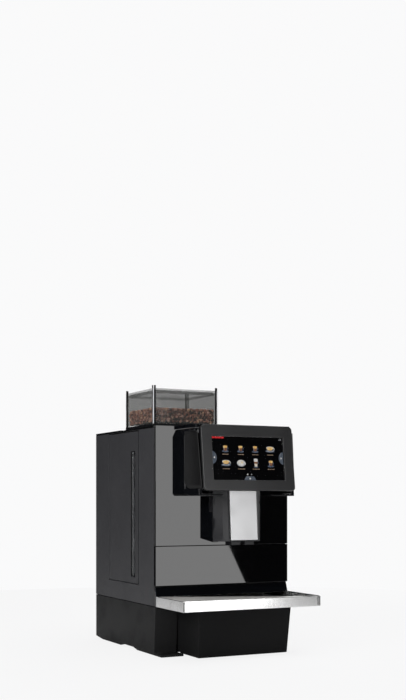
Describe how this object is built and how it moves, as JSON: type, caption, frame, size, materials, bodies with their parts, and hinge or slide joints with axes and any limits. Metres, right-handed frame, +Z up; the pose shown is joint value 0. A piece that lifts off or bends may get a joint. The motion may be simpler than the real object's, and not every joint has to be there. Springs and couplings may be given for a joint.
{
  "type": "automatic coffee machine",
  "caption": "Countertop bean-to-cup coffee machine with touchscreen head, sliding spout, bean hopper, side water tank, grounds drawer and pull-out drip tray.",
  "frame": {"origin": "under the centre of the whole machine's box, on the surface it stands on", "axes": "+X to the user's right, +Y from the user towards the back, +Z up"},
  "size_m": [0.3, 0.4524, 0.533],
  "materials": {
    "base_satin": "satin moulded plastic",
    "foot_rubber": "matte",
    "side_textured": "fine textured powder coat",
    "frame_zinc": "zinc plated sheet",
    "rear_black": "satin",
    "gloss_black": "high gloss",
    "head_black": "gloss",
    "scoop_gray": "fine matte",
    "bezel_gray": "satin anthracite",
    "screen_glass": "gloss, lit drinks menu behind",
    "lcd": "emissive menu panel",
    "spout_gray": "satin",
    "silver_plate": "fine brushed, satin",
    "steel_band": "brushed stainless",
    "grate_steel": "brushed stainless",
    "tray_black": "gloss",
    "tub_black": "satin gloss",
    "container_black": "matte",
    "hopper_smoke": "smoked clear plastic",
    "hopper_trim": "gloss",
    "coffee": "roasted coffee beans, satin",
    "tank_clear": "clear plastic",
    "tank_white": "matte",
    "cast_housing": "cast",
    "burr_steel": "hardened steel",
    "machined_steel": "machined",
    "brass_chamber": "plain",
    "boiler_steel": "brushed",
    "pipe_white": "silicone",
    "board_green": "solder mask",
    "inlet_black": "matte",
    "screw_steel": "black oxide"
  },
  "bodies": {
    "cabinet": {"base_shell": "base_satin", "bean_throat": "tank_white", "boiler": "boiler_steel", "brew_chamber": "brass_chamber", "brew_motor": "rear_black", "brewer_frame": "frame_zinc", "coffee_beans": "coffee", "container_rails": "frame_zinc", "control_board": "board_green", "grinder_housing": "cast_housing", "grinder_motor": "rear_black", "grounds_chute": "container_black", "hinge_brackets": "frame_zinc", "hopper_body": "hopper_smoke", "hopper_plate": "hopper_trim", "hopper_posts": "hopper_trim", "inner_frame": "frame_zinc", "left_panel": "side_textured", "powder_chute": "tank_white", "power_inlet": "inlet_black", "power_supply": "frame_zinc", "rear_panel": "rear_black", "rear_screws": "screw_steel", "right_panel": "side_textured", "rubber_feet": "foot_rubber", "tank_socket": "tank_white", "top_cover": "gloss_black", "water_pipes": "pipe_white", "water_pump": "machined_steel"},
    "door": {"door_pane": "gloss_black", "door_carrier": "container_black", "head_housing": "head_black", "head_cap": "head_black", "scoop_panels": "scoop_gray", "display_bezel": "bezel_gray", "touch_glass": "screen_glass", "lcd_panel": "lcd", "display_case": "head_black", "spout_column": "head_black"},
    "spout": {"spout_body": "spout_gray", "spout_cover": "silver_plate", "spout_nozzles": "spout_gray"},
    "grounds_drawer": {"drawer_panel": "gloss_black", "grounds_container": "container_black"},
    "drip_tray": {"tray_frame": "tray_black", "tray_band": "steel_band", "waste_tub": "tub_black"},
    "grate": {"drip_grate": "grate_steel"},
    "tank": {"water_tank": "tank_clear", "tank_lid": "tank_white", "tank_face": "side_textured"},
    "hopper_cover": {"hopper_lid": "hopper_smoke"},
    "powder_cover": {"powder_lid": "gloss_black"},
    "grind_ring": {"grind_adjuster": "cast_housing", "upper_burr": "burr_steel"},
    "burr": {"lower_burr": "burr_steel"},
    "piston": {"brew_piston": "brass_chamber"},
    "spindle": {"brew_spindle": "machined_steel"},
    "rocker": {"rocker_switch": "inlet_black"}
  },
  "joints": [
    {"name": "door_hinge", "type": "hinge", "parent": "cabinet", "child": "door", "pos_m": [0.147, -0.09425, 0.335], "axis": [0, 0, 1], "range_deg": [0, 95]},
    {"name": "spout_height", "type": "slide", "parent": "door", "child": "spout", "axis": [0, 0, 1], "range_m": [0, 0.06]},
    {"name": "grounds_drawer_slide", "type": "slide", "parent": "cabinet", "child": "grounds_drawer", "axis": [0, -1, 0], "range_m": [0, 0.115]},
    {"name": "drip_tray_slide", "type": "slide", "parent": "cabinet", "child": "drip_tray", "axis": [0, -1, 0], "range_m": [0, 0.12]},
    {"name": "grate_lift", "type": "slide", "parent": "drip_tray", "child": "grate", "axis": [0, 0, 1], "range_m": [0, 0.018]},
    {"name": "tank_slide", "type": "slide", "parent": "cabinet", "child": "tank", "axis": [-1, 0, 0], "range_m": [0, 0.145]},
    {"name": "hopper_lid_lift", "type": "slide", "parent": "cabinet", "child": "hopper_cover", "axis": [0, 0, 1], "range_m": [0, 0.08]},
    {"name": "powder_lid_hinge", "type": "hinge", "parent": "cabinet", "child": "powder_cover", "pos_m": [0.083, 0.029, 0.45175], "axis": [-1, 0, 0], "range_deg": [0, 90]},
    {"name": "grind_setting", "type": "hinge", "parent": "cabinet", "child": "grind_ring", "pos_m": [-0.065, -0.03, 0.433], "axis": [0, 0, 1], "range_deg": [-30, 30]},
    {"name": "burr_spin", "type": "hinge", "parent": "cabinet", "child": "burr", "pos_m": [-0.065, -0.03, 0.35], "axis": [0, 0, 1], "continuous": true},
    {"name": "spindle_turn", "type": "hinge", "parent": "cabinet", "child": "spindle", "pos_m": [0.06, -0.03, 0.38], "axis": [0, 0, 1], "range_deg": [0, 2304]},
    {"name": "piston_press", "type": "slide", "parent": "cabinet", "child": "piston", "axis": [0, 0, -1], "range_m": [0, 0.032]},
    {"name": "power_rocker", "type": "hinge", "parent": "cabinet", "child": "rocker", "pos_m": [0.069, 0.21925, 0.051], "axis": [1, 0, 0], "range_deg": [-8, 8]}
  ],
  "couplings": [
    {"joint": "spindle_turn", "follows": "piston_press", "rad_per_m": 1256.6}
  ]
}
